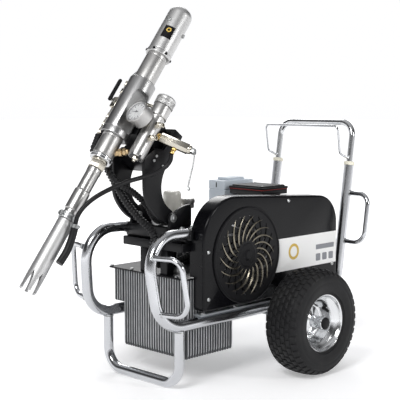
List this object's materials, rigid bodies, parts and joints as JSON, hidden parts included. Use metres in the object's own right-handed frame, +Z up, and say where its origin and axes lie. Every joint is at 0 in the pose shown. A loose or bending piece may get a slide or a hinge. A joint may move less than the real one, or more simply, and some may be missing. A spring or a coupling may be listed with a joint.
{
  "type": "hydraulic airless paint sprayer",
  "caption": "Hydraulic airless paint sprayer on a two-wheeled tube cart, with a tilting piston pump, belt-driven hydraulic drive, finned oil tank and telescoping handle.",
  "frame": {"origin": "on the ground, in the middle of the object's footprint box", "axes": "+Z up, +X towards the push handle, -Y the side with the belt guard"},
  "size_m": [1.2809, 0.746, 1.1278],
  "materials": {
    "zinc_tube": "zinc-plated steel tube, satin with sharp streaks",
    "tank_grey": "dark grey satin paint over cast fins",
    "black_paint": "black semi-gloss powder coat",
    "plate_grey": "mid grey satin paint",
    "tyre_rubber": "black moulded turf tyre rubber",
    "rim_steel": "bright zinc-plated pressed steel",
    "polished_steel": "polished stainless steel and chrome",
    "satin_steel": "satin machined steel",
    "zinc_fitting": "zinc-plated fittings and screws",
    "black_plastic": "black moulded plastic",
    "grey_plastic": "pale blue-grey moulded plastic",
    "bushing_plastic": "cream moulded nylon",
    "white_paint": "white gloss paint",
    "hose_rubber": "black hose rubber",
    "motor_grey": "dark grey motor enamel",
    "pulley_iron": "machined cast iron",
    "needle_black": "black needle"
  },
  "bodies": {
    "chassis": {"side_frame_right": "zinc_tube", "side_frame_left": "zinc_tube", "front_foot": "zinc_tube", "lift_handles": "zinc_tube", "base_plate": "plate_grey", "axle": "zinc_fitting", "axle_brackets": "plate_grey", "axle_caps": "black_plastic", "oil_tank": "tank_grey", "tank_lid": "black_paint", "filter_head": "black_paint", "return_filter": "white_paint", "motor_body": "motor_grey", "fan_cowl": "motor_grey", "terminal_box": "black_plastic", "terminal_lid": "black_plastic", "starter_box": "grey_plastic", "hydraulic_pump": "pulley_iron", "drive_belt": "hose_rubber", "belt_guard": "black_paint", "vent_cover": "black_plastic", "chassis_screws": "zinc_fitting", "pivot_beam": "black_paint", "pivot_stand": "plate_grey", "pivot_brackets": "black_paint", "pivot_pins": "zinc_fitting", "handle_bushings": "bushing_plastic", "tilt_hoses": "hose_rubber"},
    "filler_cap": {"filler_cap": "polished_steel"},
    "motor_rotor": {"motor_shaft": "satin_steel", "drive_pulley": "pulley_iron", "cooling_fan": "black_plastic"},
    "pump_drive": {"driven_pulley": "pulley_iron"},
    "handle": {"handle_tube": "polished_steel", "hose_hanger": "zinc_tube"},
    "wheel_right": {"tyre_right": "tyre_rubber", "rim_right": "rim_steel"},
    "wheel_left": {"tyre_left": "tyre_rubber", "rim_left": "rim_steel"},
    "pump_arm": {"fork_arm": "black_paint", "pump_block": "polished_steel", "hydraulic_cylinder": "satin_steel", "cylinder_head": "satin_steel", "head_screws": "zinc_fitting", "fluid_cylinder": "polished_steel", "foot_valve": "satin_steel", "suction_pipe": "polished_steel", "suction_foot": "polished_steel", "pipe_clamp": "zinc_fitting", "pressure_gauge": "polished_steel", "filter_body": "polished_steel", "filter_cap": "satin_steel", "outlet_fittings": "zinc_fitting", "relief_valve": "zinc_fitting", "shutoff_valve": "zinc_fitting", "return_hose": "hose_rubber"},
    "gauge_needle": {"gauge_needle": "needle_black"},
    "relief_lever": {"relief_lever": "zinc_fitting"},
    "shutoff_handle": {"shutoff_handle": "black_plastic"},
    "piston_rod": {"piston_rod": "polished_steel"}
  },
  "joints": [
    {"name": "pump_tilt", "type": "hinge", "parent": "chassis", "child": "pump_arm", "pos_m": [-0.158, 0, 0.498], "axis": [0, 1, 0], "range_deg": [-37, 25], "deforming": ["tilt_hoses"]},
    {"name": "handle_slide", "type": "slide", "parent": "chassis", "child": "handle", "axis": [0.1525, 0, 0.9883], "range_m": [0, 0.25]},
    {"name": "wheel_right_spin", "type": "hinge", "parent": "chassis", "child": "wheel_right", "pos_m": [0.22, -0.312, 0.165], "axis": [0, 1, 0], "continuous": true},
    {"name": "wheel_left_spin", "type": "hinge", "parent": "chassis", "child": "wheel_left", "pos_m": [0.22, 0.312, 0.165], "axis": [0, 1, 0], "continuous": true},
    {"name": "motor_spin", "type": "hinge", "parent": "chassis", "child": "motor_rotor", "pos_m": [0.338, 0, 0.425], "axis": [0, 1, 0], "continuous": true},
    {"name": "pump_drive_spin", "type": "hinge", "parent": "chassis", "child": "pump_drive", "pos_m": [0.055, -0.13, 0.376], "axis": [0, 1, 0], "continuous": true},
    {"name": "filler_cap_turn", "type": "hinge", "parent": "chassis", "child": "filler_cap", "pos_m": [0.045, 0.06, 0.5], "axis": [0, 0, 1], "range_deg": [0, 360]},
    {"name": "gauge_needle_turn", "type": "hinge", "parent": "pump_arm", "child": "gauge_needle", "pos_m": [-0.2945, -0.08, 0.81547], "axis": [0.7986, 0, -0.6018], "range_deg": [0, 270], "stiffness_Nm_per_rad": 0.01},
    {"name": "relief_lever_turn", "type": "hinge", "parent": "pump_arm", "child": "relief_lever", "pos_m": [-0.15438, -0.17296, 0.69736], "axis": [0.625, 0.6225, -0.471], "range_deg": [-80, 0]},
    {"name": "shutoff_turn", "type": "hinge", "parent": "pump_arm", "child": "shutoff_handle", "pos_m": [-0.26184, 0.054, 0.84219], "axis": [0.7986, 0, -0.6018], "range_deg": [-90, 0]},
    {"name": "piston_stroke", "type": "slide", "parent": "pump_arm", "child": "piston_rod", "axis": [0.6018, 0, 0.7986], "range_m": [-0.045, 0.06]}
  ],
  "couplings": [
    {"joint": "pump_drive_spin", "follows": "motor_spin", "ratio": 0.57143}
  ]
}
